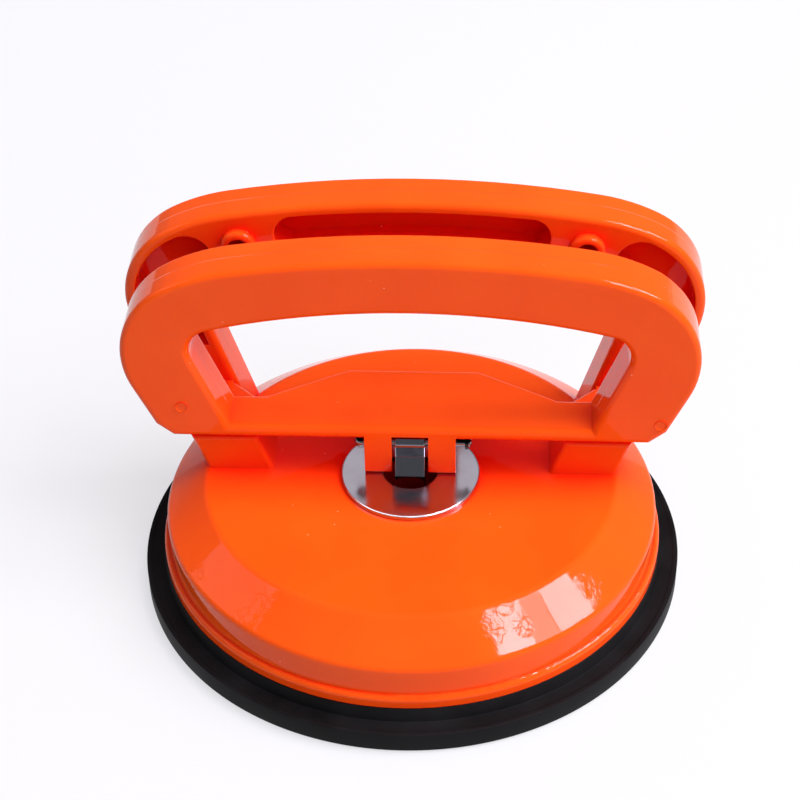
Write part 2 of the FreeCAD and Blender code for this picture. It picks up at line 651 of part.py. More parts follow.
def make_lever():
    body = add_body("lever_handle")
    out = "-" + LEVER_FRONT
    outline = add_sketch(body, "lever_outline", "XZ_Plane", out=out)
    draw(outline, [
        ("-" + CUT_FOOT, BAR_BOTTOM),
        (CUT_FOOT, BAR_BOTTOM),
        (CUT_TOP, CUT_HEIGHT)] + over_the_top(OUTER) + [("-" + CUT_TOP, CUT_HEIGHT)])
    extrude(body, "Pad", outline, "lever_thickness", reverse=True)
    opening = add_sketch(body, "lever_opening", "XZ_Plane", out=out)
    low = down_to(WINDOW["side"], "window_angle", BAR_TOP)
    draw(opening, [("-" + low, BAR_TOP), (low, BAR_TOP)] + under_the_top(WINDOW))
    extrude(body, "Pocket", opening, "lever_thickness")
    front = number(LEVER_FRONT)
    back = number(LEVER_BACK)
    soften(body, "Fillet", "lever_rounding", "handle_edge", face_edges(front, back, 0))

    shelf = add_sketch(body, "lever_shelf", "XY_Plane", out=BAR_BOTTOM)
    root = "(%s - handle_edge)" % LEVER_BACK
    draw(shelf, [
        ("-bar_front_half_width", root),
        ("bar_front_half_width", root),
        ("bar_front_half_width", LEVER_BACK),
        ("bar_back_half_width", "(%s + bar_back)" % LEVER_BACK),
        ("-bar_back_half_width", "(%s + bar_back)" % LEVER_BACK),
        ("-bar_front_half_width", LEVER_BACK)])
    extrude(body, "Pad", shelf, "bar_height")
    bottom = number(BAR_BOTTOM)
    top = number(BAR_TOP)

    def rear_edge(height):
        def wanted(edge):
            box = edge.BoundBox
            return close(box.ZMin, height) and close(box.ZMax, height) and box.YMax > back + 1
        return wanted

    soften(body, "Fillet", "bar_rounding", "bar_edge", rear_edge(bottom))
    soften(body, "Fillet", "shelf_rounding", "shelf_edge", rear_edge(top))
    add_lugs(body)
    floor_z = "(%s + lever_pocket_floor)" % BAR_TOP
    add_pockets(body, LEVER_BACK, floor_z, "tan(window_angle * 1 deg)", True)
    add_bosses(body, LEVER_BACK, True)
    return body


def add_lugs(body):
    """Two lugs with a cam edge that stays clear of the washer while the lever opens."""
    lug_foot = "(%s + cam_gap)" % WASHER_TOP
    shift = "(cam_drop / (pi / 2))"
    cam = "(cam_height + cam_gap - cam_margin)"
    nose = "(%s - sqrt(%s ^ 2 - (cam_front + %s) ^ 2))" % (PIN_Z, cam, shift)
    heel = "(pin_y + %s - sqrt(%s ^ 2 - cam_height ^ 2))" % (shift, cam)
    lugs = add_sketch(body, "lug_side", "YZ_Plane")
    draw(lugs, [
        (LEVER_FRONT, nose, cam),
        (heel, lug_foot),
        ("(%s + lug_length)" % LEVER_FRONT, lug_foot),
        ("(%s + lug_length)" % LEVER_FRONT, "(%s + bar_height / 2)" % BAR_BOTTOM),
        (LEVER_FRONT, "(%s + bar_height / 2)" % BAR_BOTTOM)])
    extrude(body, "Pad", lugs, "(2 * lug_outer)", both_ways=True)

    notch = add_sketch(body, "lug_notch", "YZ_Plane")
    eye = "(%s + notch_gap)" % STRAP_OUTER
    before = "(%s - 1)" % LEVER_FRONT
    behind = "(%s + lug_length + 1)" % LEVER_FRONT
    draw(notch, [
        (before, "(%s - 1)" % lug_foot),
        (behind, "(%s - 1)" % lug_foot),
        (behind, BAR_BOTTOM),
        ("(pin_y + sqrt(%s ^ 2 - bar_gap ^ 2))" % eye, BAR_BOTTOM, eye),
        ("pin_y", "(%s + %s)" % (PIN_Z, eye)),
        (before, "(%s + %s)" % (PIN_Z, eye))])
    extrude(body, "Pocket", notch, "(2 * lug_inner)", both_ways=True)

    bore = add_sketch(body, "pin_bore", "YZ_Plane")
    draw_circle(bore, "pin_y", PIN_Z, STRAP_INNER)
    extrude(body, "Pocket", bore, "(2 * lug_outer + 2)", both_ways=True)


# ---- shell with fixed handle ---------------------------------------------------------------

def make_shell_outside():
    body = turned_body("shell_outside", [
        ("0", SEAT),
        (FLANGE_RADIUS, SEAT),
        (FLANGE_RADIUS, "(%s + flange_height)" % SEAT),
        (WALL_RADIUS, "(%s + flange_height)" % SEAT),
        (WALL_RADIUS, "(%s + flange_height + wall_height)" % SEAT),
        (FLAT_RADIUS, FLAT_TOP),
        ("0", FLAT_TOP)])
    top = ring_at(number(FLAT_RADIUS), number(FLAT_TOP))
    soften(body, "Fillet", "flat_rounding", "flat_edge", top)
    cone = ring_at(number(WALL_RADIUS), number("(%s - cone_height)" % FLAT_TOP))
    soften(body, "Fillet", "cone_rounding", "cone_edge", cone)
    flange = ring_at(number(FLANGE_RADIUS), number("(%s + flange_height)" % SEAT))
    soften(body, "Fillet", "flange_rounding", "(flange_step - 0.1)", flange)
    foot = ring_at(number(FLANGE_RADIUS), number(SEAT))
    soften(body, "Fillet", "flange_foot_rounding", "flange_foot", foot)
    return body


def make_shell_cavity():
    ceiling = "(%s - shell_thickness)" % FLAT_TOP
    tube = "(hub_hole_radius + hub_wall)"
    below = "(%s - 1)" % SEAT
    inner_wall = "(%s - shell_thickness)" % WALL_RADIUS
    return turned_body("shell_cavity", [
        ("0", below),
        (inner_wall, below),
        (inner_wall, "(%s - cone_height - shell_thickness / 2)" % FLAT_TOP),
        ("(%s - shell_thickness / 2)" % FLAT_RADIUS, ceiling),
        (tube, ceiling),
        (tube, "(%s - hub_depth)" % ceiling),
        ("hub_hole_radius", "(%s - hub_depth)" % ceiling),
        ("hub_hole_radius", "(%s + 1)" % FLAT_TOP),
        ("0", "(%s + 1)" % FLAT_TOP)])


def make_shell_ribs():
    body = add_body("shell_ribs")
    ceiling = "(%s - shell_thickness)" % FLAT_TOP
    sketch = add_sketch(body, "rib_plan", "XY_Plane", out="(%s + 0.5)" % ceiling)
    start = "(hub_hole_radius + hub_wall - 0.5)"
    end = "(%s - 2)" % FLAT_RADIUS
    draw(sketch, [
        (start, "-(rib_thickness / 2)"),
        (end, "-(rib_thickness / 2)"),
        (end, "(rib_thickness / 2)"),
        (start, "(rib_thickness / 2)")])
    rib = extrude(body, "Pad", sketch, "(rib_depth + 0.5)", reverse=True)
    ring = body.newObject("PartDesign::PolarPattern", "rib_ring")
    ring.Originals = [rib]
    ring.Axis = (sketch, ["N_Axis"])
    ring.Angle = 360
    ring.setExpression("Occurrences", bound("rib_count"))
    body.Tip = ring
    doc.recompute()
    return body


def make_fixed_handle():
    body = add_body("fixed_handle")
    root = "(%s - cone_height - 1.5)" % FLAT_TOP
    foot_top = "(%s + foot_height)" % FLAT_TOP
    lean = "(foot_lean / foot_height)"
    outer_low = "(%s - (%s - %s) * %s)" % (FOOT_OUTER, FLAT_TOP, root, lean)
    outer = handle_corner("0", "fixed_wider")
    window = window_corner("0", "fixed_window_wider")
    cut_top = down_to(outer["side"], "side_angle", CUT_HEIGHT)
    side_x, side_z = window["side"]
    inner_lean = "((%s - %s) / (%s - %s))" % (side_x, LEG_INNER, side_z, FLAT_TOP)
    inner_low = "(%s - (%s - %s) * %s)" % (LEG_INNER, FLAT_TOP, root, inner_lean)
    foot_edge = "(%s + foot_lean)" % FOOT_OUTER
    outline = add_sketch(body, "fixed_outline", "XZ_Plane", out="-" + FIXED_FRONT)
    draw(outline, [
        (inner_low, root),
        (outer_low, root),
        (foot_edge, foot_top),
        (cut_top, CUT_HEIGHT)] + over_the_top(outer) + [
        ("-" + cut_top, CUT_HEIGHT),
        ("-" + foot_edge, foot_top),
        ("-" + outer_low, root),
        ("-" + inner_low, root)] + under_the_top(window, backwards=True))
    extrude(body, "Pad", outline, "fixed_thickness", reverse=True)
    front = number(FIXED_FRONT)
    back = number(FIXED_BACK)
    lowest = number(root) + 0.01
    soften(body, "Fillet", "fixed_rounding", "handle_edge", face_edges(front, back, lowest))
    floor_z = "(%s + lever_pocket_floor)" % BAR_TOP
    add_pockets(body, FIXED_FRONT, floor_z, inner_lean, False, "fixed_wider", "fixed_window_wider")
    add_bosses(body, FIXED_FRONT, False)
    return body


def make_foot(name, mark):
    """One foot, leaning outward, that runs forward from the leg and tapers back to it."""
    body = add_body(name)
    root = "(%s - cone_height - 1.5)" % FLAT_TOP
    foot_top = "(%s + foot_height)" % FLAT_TOP
    lean = "((%s - %s) * foot_lean / foot_height)" % (FLAT_TOP, root)
    outline = add_sketch(body, name + "_outline", "XZ_Plane", out="-foot_front")
    draw(outline, [
        ("%s(%s - %s)" % (mark, FOOT_INNER, lean), root),
        ("%s(%s - %s)" % (mark, FOOT_OUTER, lean), root),
        ("%s(%s + foot_lean)" % (mark, FOOT_OUTER), foot_top),
        ("%s(%s + foot_lean)" % (mark, FOOT_INNER), foot_top)])
    length = "(%s + fixed_thickness / 2 - foot_front)" % FIXED_FRONT
    extrude(body, "Pad", outline, length, reverse=True)
    taper = add_sketch(body, name + "_taper", "XY_Plane", out="(%s + 1)" % foot_top)
    back = "(%s + fixed_thickness / 2 + 1)" % FIXED_FRONT
    edge_x = "(%s + foot_lean)" % LEG_INNER
    inside = "(%s - 2 * %s)" % (FOOT_INNER, lean)
    draw(taper, [
        (mark + inside, "(%s - foot_taper)" % FIXED_FRONT),
        (mark + FOOT_INNER, "(%s - foot_taper)" % FIXED_FRONT),
        (mark + edge_x, FIXED_FRONT),
        (mark + edge_x, back),
        (mark + inside, back)])
    extrude(body, "Pocket", taper, "(foot_height + %s - %s + 2)" % (FLAT_TOP, root))
    front = number("foot_front")
    top = number(foot_top)

    def outer_edges(edge):
        box = edge.BoundBox
        on_top = close(box.ZMin, top) and box.YMax < number(FIXED_FRONT) + 0.01
        on_front = close(box.YMin, front) and close(box.YMax, front) and box.ZMax > number(root) + 0.01
        return on_top or on_front

    soften(body, "Fillet", name + "_rounding", "foot_edge", outer_edges)
    return body


def make_body_shell():
    feet = [make_foot("right_foot", ""), make_foot("left_foot", "-")]
    outside = [make_shell_outside(), make_fixed_handle()] + feet
    solid = combine("MultiFuse", "shell_solid", outside)
    hollow = combine("Cut", "shell_hollow", [solid, make_shell_cavity()])
    return combine("MultiFuse", "body_shell", [hollow, make_shell_ribs()])


NODES = {
    "rubber_pad": [make_rubber_pad()],
    "insert_plate": [make_insert_plate()],
    "link_strap": [make_link_strap()],
    "link_rivets": [make_rivet("front_rivet", "-"), make_rivet("back_rivet", "+")],
    "hinge_pin": [make_hinge_pin()],
    "pin_clip": [make_pin_clip()],
    "cam_washer": [make_cam_washer()],
    "lever_handle": [make_lever()],
    "body_shell": [make_body_shell()],
}

doc.recompute()
for item in doc.Objects:
    if "Invalid" in item.State or "Error" in item.State:
        raise RuntimeError("%s failed: %s" % (item.Name, item.State))

os.makedirs("parts", exist_ok=True)
for node, pieces in NODES.items():
    for piece in pieces:
        if piece.Shape.isNull() or not piece.Shape.isValid():
            raise RuntimeError("%s has no valid shape" % node)
    solids = [solid for piece in pieces for solid in piece.Shape.Solids]
    shape = solids[0] if len(solids) == 1 else Part.makeCompound(solids)
    shape.exportStep("parts/%s.step" % node)
    print("%-14s %d solid(s) %10.1f mm3" % (node, len(solids), shape.Volume))
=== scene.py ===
import math

import bpy
from mathutils import Matrix, Vector


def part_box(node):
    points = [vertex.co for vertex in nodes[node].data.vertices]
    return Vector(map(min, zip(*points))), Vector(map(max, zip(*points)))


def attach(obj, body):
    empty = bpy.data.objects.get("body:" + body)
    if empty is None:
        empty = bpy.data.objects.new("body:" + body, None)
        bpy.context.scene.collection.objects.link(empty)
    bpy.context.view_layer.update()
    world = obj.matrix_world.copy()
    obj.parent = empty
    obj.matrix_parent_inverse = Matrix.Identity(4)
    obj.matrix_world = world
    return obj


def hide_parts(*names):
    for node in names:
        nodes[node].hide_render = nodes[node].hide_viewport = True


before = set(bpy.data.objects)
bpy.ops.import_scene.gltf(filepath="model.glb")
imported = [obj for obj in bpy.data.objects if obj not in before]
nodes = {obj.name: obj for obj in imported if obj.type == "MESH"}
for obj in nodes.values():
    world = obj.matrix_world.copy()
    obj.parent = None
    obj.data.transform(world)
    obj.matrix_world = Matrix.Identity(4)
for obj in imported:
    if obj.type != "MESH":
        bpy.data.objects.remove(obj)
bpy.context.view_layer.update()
mm = 0.001
print("frame loaded:", ", ".join(sorted(nodes)))


def linearColour(hexColour, strength=1.0):  # sRGB hex to the linear values that shaders take
    parts = [int(hexColour[i:i + 2], 16) / 255 for i in (1, 3, 5)]
    linear = [p / 12.92 if p <= 0.04045 else ((p + 0.055) / 1.055) ** 2.4 for p in parts]
    return [strength * value for value in linear] + [1.0]


def addNode(tree, kind, inputs=None, **settings):  # inputs: values, sockets, or nodes for their first output
    node = tree.nodes.new("ShaderNode" + kind)
    for name, value in settings.items():
        setattr(node, name, value)
    for name, value in (inputs or {}).items():
        if isinstance(value, bpy.types.Node):
            value = next(socket for socket in value.outputs if socket.enabled)
        if isinstance(value, bpy.types.NodeSocket):
            tree.links.new(value, node.inputs[name])
        else:
            node.inputs[name].default_value = value
    return node


def newMaterial(name):
    material = bpy.data.materials.new(name)
    material.use_nodes = True
    material.node_tree.nodes.clear()
    return material, material.node_tree


# Camera

camera = {
    "target": (-2.012 * mm, -0.124 * mm, 43.958 * mm),
    "azimuth": 3.517,       # degrees, as the elevation and the roll are
    "elevation": 38.402,
    "roll": 1.199,
    "distance": 410.4 * mm,
    "lens": 87.43,
    "sensor": 36,
}


def addCamera():
    azimuth, elevation, roll = (math.radians(camera[k]) for k in ("azimuth", "elevation", "roll"))
    back = Vector((
        math.sin(azimuth) * math.cos(elevation),
        -math.cos(azimuth) * math.cos(elevation),
        math.sin(elevation),
    ))
    level = Vector((math.cos(azimuth), math.sin(azimuth), 0))
    up = back.cross(level)
    right = math.cos(roll) * level - math.sin(roll) * up
    top = math.sin(roll) * level + math.cos(roll) * up
    data = bpy.data.cameras.new("viewCamera")
    data.lens = camera["lens"]
    data.sensor_width = camera["sensor"]
    data.clip_start = 0.01
    viewCamera = bpy.data.objects.new("viewCamera", data)
    bpy.context.scene.collection.objects.link(viewCamera)
    turn = Matrix((right, top, back)).transposed().to_4x4()
    place = Vector(camera["target"]) + back * camera["distance"]
    viewCamera.matrix_world = Matrix.Translation(place) @ turn
    bpy.context.scene.camera = viewCamera


addCamera()
print("camera set")

# Studio: a white floor, a grey room, a large soft key lamp on the right, and weaker ones in front and
# overhead. Five softbox strips are there for gloss alone. Two grey cards and a rim lamp are there for the
# washer alone.

studio = {
    "floorColour": "#FCFBFF",
    "floorSize": 8.0,
    "floorLit": 0.34,       # share of the floor's look that comes from the lamps, which shows shadows
    "floorMatt": 0.69,      # its reflectance there
    "floorNear": 0.16,      # metres from the lifter, where that share starts to fade and where it ends
    "floorFar": 0.9,
    "floorBounce": 0.45,    # and what it sends back to the lifter
    "boxDistance": 1.2,
    "boxColour": "#FFEDFF",
    "aimHeight": 30 * mm,   # what the lamps point at, over the middle of the floor
}

# Gloss and chrome show the room darker than it lights, with two pale walls behind the lifter. The tops of
# the walls slant up to the left and to the right.
room = {
    "colour": "#F9F7FF",
    "frontGrey": 0.22,      # in front of the lifter and to its left
    "backGrey": 0.50,       # behind it and to its right
    "greyReach": 0.7,       # how far round the one turns into the other
    "mirroredGrey": 0.24,
    "leftWall": 0.75,       # how bright the walls are
    "rightWall": 0.5,
    "wallsMeet": 0.3,
    "wallEdge": 0.01,
    "wallsFrom": 0.1,       # how far back they begin and stand clear
    "wallsClear": 0.3,
    "ways": {               # directions that the room is laid out by
        "back": (0, 1, 0),
        "right": (1, 0, 0),
        "backRight": (0.7, 0.7, 0),
        "underLeftWall": (-0.648, -0.505, -1),
        "underRightWall": (0.70, -0.425, -1),
    },
}

# Each lamp: its direction from the lifter, its distance, its size, and the level that it gives.
lamps = {
    "keyLamp": ((0.66, -0.10, 0.74), 2.0, 1.3, 0.95),
    "frontLamp": ((0.40, -0.72, 0.57), 2.0, 1.4, 0.31),
    "topLamp": ((0.26, -0.02, 0.97), 2.0, 1.0, 0.53),
}

# Each softbox: two opposite ends as directions from the lifter, its width in degrees, and its brightness.
softboxes = {
    "rightBoxFront": ((0.42, -0.34, 0.84), (0.575, -0.225, 0.785), 15, 46),
    "rightBoxMiddle": ((0.575, -0.225, 0.785), (0.665, -0.13, 0.735), 15, 15),
    "rightBoxBack": ((0.665, -0.13, 0.735), (0.765, 0.055, 0.645), 15, 37),
    "leftBox": ((-0.845, 0.29, 0.45), (-0.73, -0.08, 0.68), 16, 1.9),
    "leftBoxEdge": ((-0.73, -0.08, 0.68), (-0.685, -0.15, 0.71), 16, 2.8),
}

# The cards lie level over the washer's sides, one on each side of the lever's lugs.
greyCard = {
    "colour": "#DDD8E0",
    "height": 9.2 * mm,     # over the washer
    "inner": 9.9 * mm,      # from the middle
    "past": 3 * mm,         # past the washer's edge
    "front": 2 * mm,        # in front of the lever's face, and behind it
    "back": 20 * mm,
}

rimLamp = {"place": (-0.04, -0.06, 0.165), "length": 0.34, "breadth": 0.16, "brightness": 3.0}


def addFloor():  # matt paper has no shine, so it shows the lifter's soft shadow alone
    bpy.ops.mesh.primitive_plane_add(size=studio["floorSize"], location=(0, 0, 0))
    floor = bpy.context.object
    floor.name = "studioFloor"
    material, tree = newMaterial("matt white paper floor")
    path = addNode(tree, "LightPath").outputs
    seen = addNode(tree, "Math", {0: path["Is Camera Ray"], 1: path["Is Glossy Ray"]}, operation="MAXIMUM")
    seen = addNode(tree, "Math", {0: seen, 1: path["Is Transmission Ray"]}, operation="MAXIMUM")
    place = addNode(tree, "TexCoord").outputs["Object"]
    away = addNode(tree, "VectorMath", {0: place}, operation="LENGTH")
    plain = addNode(tree, "MapRange", {  # the lamps' falloff doesn't show on the far floor
        "Value": away, "From Min": studio["floorNear"], "From Max": studio["floorFar"],
        "To Min": 1 - studio["floorLit"], "To Max": 1.0})
    share = addNode(tree, "Math", {0: seen, 1: plain}, operation="MULTIPLY")
    paper = addNode(tree, "Mix", {
        "Factor": seen, "A": linearColour(studio["floorColour"], studio["floorBounce"]),
        "B": linearColour(studio["floorColour"], studio["floorMatt"])}, data_type="RGBA")
    matt = addNode(tree, "BsdfDiffuse", {"Color": paper})
    white = addNode(tree, "Emission", {"Color": linearColour(studio["floorColour"]), "Strength": 1.0})
    mix = addNode(tree, "MixShader", {0: share, 1: matt, 2: white})
    addNode(tree, "OutputMaterial", {"Surface": mix})
    floor.data.materials.append(material)


def addRoom():
    world = bpy.data.worlds.new("grey room")
    bpy.context.scene.world = world
    world.use_nodes = True
    tree = world.node_tree
    tree.nodes.clear()
    ray = addNode(tree, "TexCoord").outputs["Generated"]  # for a world this is the direction
    lean = {name: addNode(tree, "VectorMath", {0: ray, 1: way}, operation="DOT_PRODUCT")
            for name, way in room["ways"].items()}
    under = addNode(tree, "Math", {0: lean["underRightWall"], 1: lean["underLeftWall"]}, operation="MAXIMUM")
    isUnder = addNode(tree, "MapRange", {
        "Value": under, "From Min": -room["wallEdge"], "From Max": room["wallEdge"]})
    isBack = addNode(tree, "MapRange", {
        "Value": lean["back"], "From Min": room["wallsFrom"], "From Max": room["wallsClear"]})
    isWall = addNode(tree, "Math", {0: isUnder, 1: isBack}, operation="MULTIPLY")
    walls = addNode(tree, "MapRange", {
        "Value": lean["right"], "From Min": -room["wallsMeet"], "From Max": room["wallsMeet"],
        "To Min": room["leftWall"], "To Max": room["rightWall"]})
    mirrored = addNode(tree, "Mix", {"Factor": isWall, "A": room["mirroredGrey"], "B": walls})
    grey = addNode(tree, "MapRange", {
        "Value": lean["backRight"], "From Min": -room["greyReach"], "From Max": room["greyReach"],
        "To Min": room["frontGrey"], "To Max": room["backGrey"]})
    path = addNode(tree, "LightPath").outputs
    light = addNode(tree, "Mix", {"Factor": path["Is Glossy Ray"], "A": grey, "B": mirrored})
    isSeen = addNode(tree, "Math", {0: path["Is Camera Ray"], 1: path["Is Transmission Ray"]},
                     operation="MAXIMUM")
    strength = addNode(tree, "Mix", {"Factor": isSeen, "A": light, "B": 1.0})
    background = addNode(tree, "Background", {"Color": linearColour(room["colour"]), "Strength": strength})
    addNode(tree, "OutputWorld", {"Surface": background})


def addLamp(name, along, across, away, length, breadth, power):
    lamp = bpy.data.lights.new(name, "AREA")
    lamp.shape = "RECTANGLE"
    lamp.size, lamp.size_y = length, breadth
    lamp.energy = power
    box = bpy.data.objects.new(name, lamp)
    bpy.context.scene.collection.objects.link(box)
    turn = Matrix((along, across, away.normalized())).transposed().to_4x4()
    box.matrix_world = Matrix.Translation(away + Vector((0, 0, studio["aimHeight"]))) @ turn
    box.visible_camera = False
    return box


def addSoftLamp(name, way, distance, size, level):  # a matt white surface that faces it renders at the level
    away = Vector(way).normalized()
    along = Vector((0, 0, 1)).cross(away).normalized()
    power = level * (math.pi * distance) ** 2
    box = addLamp(name, along, away.cross(along), away * distance, size, size, power)
    box.visible_glossy = False


def addSoftbox(name, firstEnd, secondEnd, width, brightness):
    first, second = Vector(firstEnd).normalized(), Vector(secondEnd).normalized()
    distance = studio["boxDistance"]
    middle = (first + second).normalized()
    along = (second - first).normalized()
    length = 2 * distance * math.tan(first.angle(second) / 2)
    breadth = 2 * distance * math.tan(math.radians(width) / 2)
    power = brightness * math.pi * length * breadth
    box = addLamp(name, along, middle.cross(along), middle * distance, length, breadth, power)
    box.data.color = linearColour(studio["boxColour"])[:3]
    box.visible_diffuse = False


def addGreyCards(receivers):
    washer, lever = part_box("cam_washer")[1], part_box("lever_handle")[0]
    material, tree = newMaterial("grey card")
    grey = addNode(tree, "Emission", {"Color": linearColour(greyCard["colour"]), "Strength": 1.0})
    addNode(tree, "OutputMaterial", {"Surface": grey})
    front, back = lever.y - greyCard["front"], lever.y + greyCard["back"]
    inner, outer = greyCard["inner"], washer.x + greyCard["past"]
    for name, side in (("greyCardLeft", -1), ("greyCardRight", 1)):
        bpy.ops.mesh.primitive_plane_add(size=1, location=(
            side * (inner + outer) / 2, (front + back) / 2, washer.z + greyCard["height"]))
        card = bpy.context.object
        card.scale = (outer - inner, back - front, 1)
        card.name = name
        card.data.materials.append(material)
        card.visible_camera = card.visible_diffuse = card.visible_shadow = card.visible_transmission = False
        card.light_linking.receiver_collection = receivers


def addRimLamp(receivers):  # it draws the bright line along the washer's front rim
    away = Vector(rimLamp["place"])
    back = away.normalized()
    across = back.cross(Vector((1, 0, 0))).normalized()
    power = rimLamp["brightness"] * math.pi * rimLamp["length"] * rimLamp["breadth"]
    box = addLamp("rimLamp", across.cross(back), across, away, rimLamp["length"], rimLamp["breadth"], power)
    box.visible_diffuse = False
    box.light_linking.receiver_collection = receivers


def addStudio():
    bpy.ops.object.select_all(action="DESELECT")
    addFloor()
    addRoom()
    for name, (way, distance, size, level) in lamps.items():
        addSoftLamp(name, way, distance, size, level)
    for name, (firstEnd, secondEnd, width, brightness) in softboxes.items():
        addSoftbox(name, firstEnd, secondEnd, width, brightness)
    washerAlone = bpy.data.collections.new("washerAlone")
    washerAlone.objects.link(nodes["cam_washer"])
    addGreyCards(washerAlone)
    addRimLamp(washerAlone)
    bpy.context.scene.view_settings.view_transform = "Standard"


addStudio()
print("studio built")

# Materials


def perMetre(sizeInMm):  # a texture scale for a pattern of that size
    return 1000 / sizeInMm


# Injection-moulded ABS from a polished mould: an even, strong orange under a clear gloss, with painted
# shade, a redder orange, in its pockets and corners. Its skin is not quite flat, so reflections waver at
# their edges, and it carries a few scuffs and specks of dust. All lengths are in mm.
orangePlastic = {
    "colour": "#F95712",
    "cloudColour": "#F65110",
    "clouds": (0.3, 0.7),
    "paintedShadeColour": "#F7160A",  # painted shade: a redder orange in pockets and corners and under other parts, where little light reaches
    "paintedShadeReach": 20,
    "paintedShadeSpan": (0.80, 0.45),  # how open a corner is where that colour starts and where it is full
    "paintedShadeSamples": 6,
    "dustColour": "#FFD9C0",
    "dustSpacing": 5.0,     # and each speck is about 0.25 mm, as fine as still shows
    "dustSpan": (0.026, 0.018),  # a speck's soft edge, as shares of the spacing
    "ior": 1.52,
    "gloss": 0.14,          # share of the usual reflection that the pigment leaves
    "roughness": 0.045,
    "scuffedRoughness": 0.16,
    "scuffs": (0.60, 0.75),
    "patterns": {           # each noise: its size, its detail, and how strong the fine detail is
        "cloud": (18, 2.0, 0.5),
        "scuff": (2.2, 4.0, 0.7),
        "wave": (9, 1.0, 0.5),
        "ripple": (2.4, 2.0, 0.5),
        "pull": (1.5, 3.0, 0.5),
        "bend": (4, 3.0, 0.5),
    },
    "waveHeight": 0.014,
    "rippleHeight": 0.006,
    "pullHeight": 0.090,
    "wrinkleSpacing": 2.6,
    "wrinkleWidth": 0.07,   # share of the spacing
    "wrinkleHeight": 0.022,
    "wrinkleBend": 4,
    "pulledSpots": [        # places on the cone where the skin has pulled, and their radii
        (18.4, -44.5, 21.2, 3.6), (20.0, -40.0, 23.4, 2.8), (24.4, -42.5, 20.6, 3.0),
        (38.5, -31.0, 20.6, 4.2), (-28.2, -38.4, 21.4, 3.4), (-32.4, -40.3, 18.9, 3.6),
        (-43.5, -28.4, 18.5, 3.0), (44.0, 24.0, 19.5, 5.0), (-30.0, 38.0, 20.5, 5.0)],
    "pulledFull": 0.6,      # share of the radius inside which a spot is fully pulled
    "partingY": (3.65, 25.5),  # where the mould's halves met on each handle
    "partingFrom": (38, 40),  # height where that line starts and where it is full
    "partingWidth": 0.36,   # wider than the real hairline, so that it shows
    "partingHeight": 0.08,
    "edge": 0.25,           # how soft the mould leaves its sharp corners
    "markEdge": 0.03,       # and the small ejector marks
    "edgeSamples": 4,
}


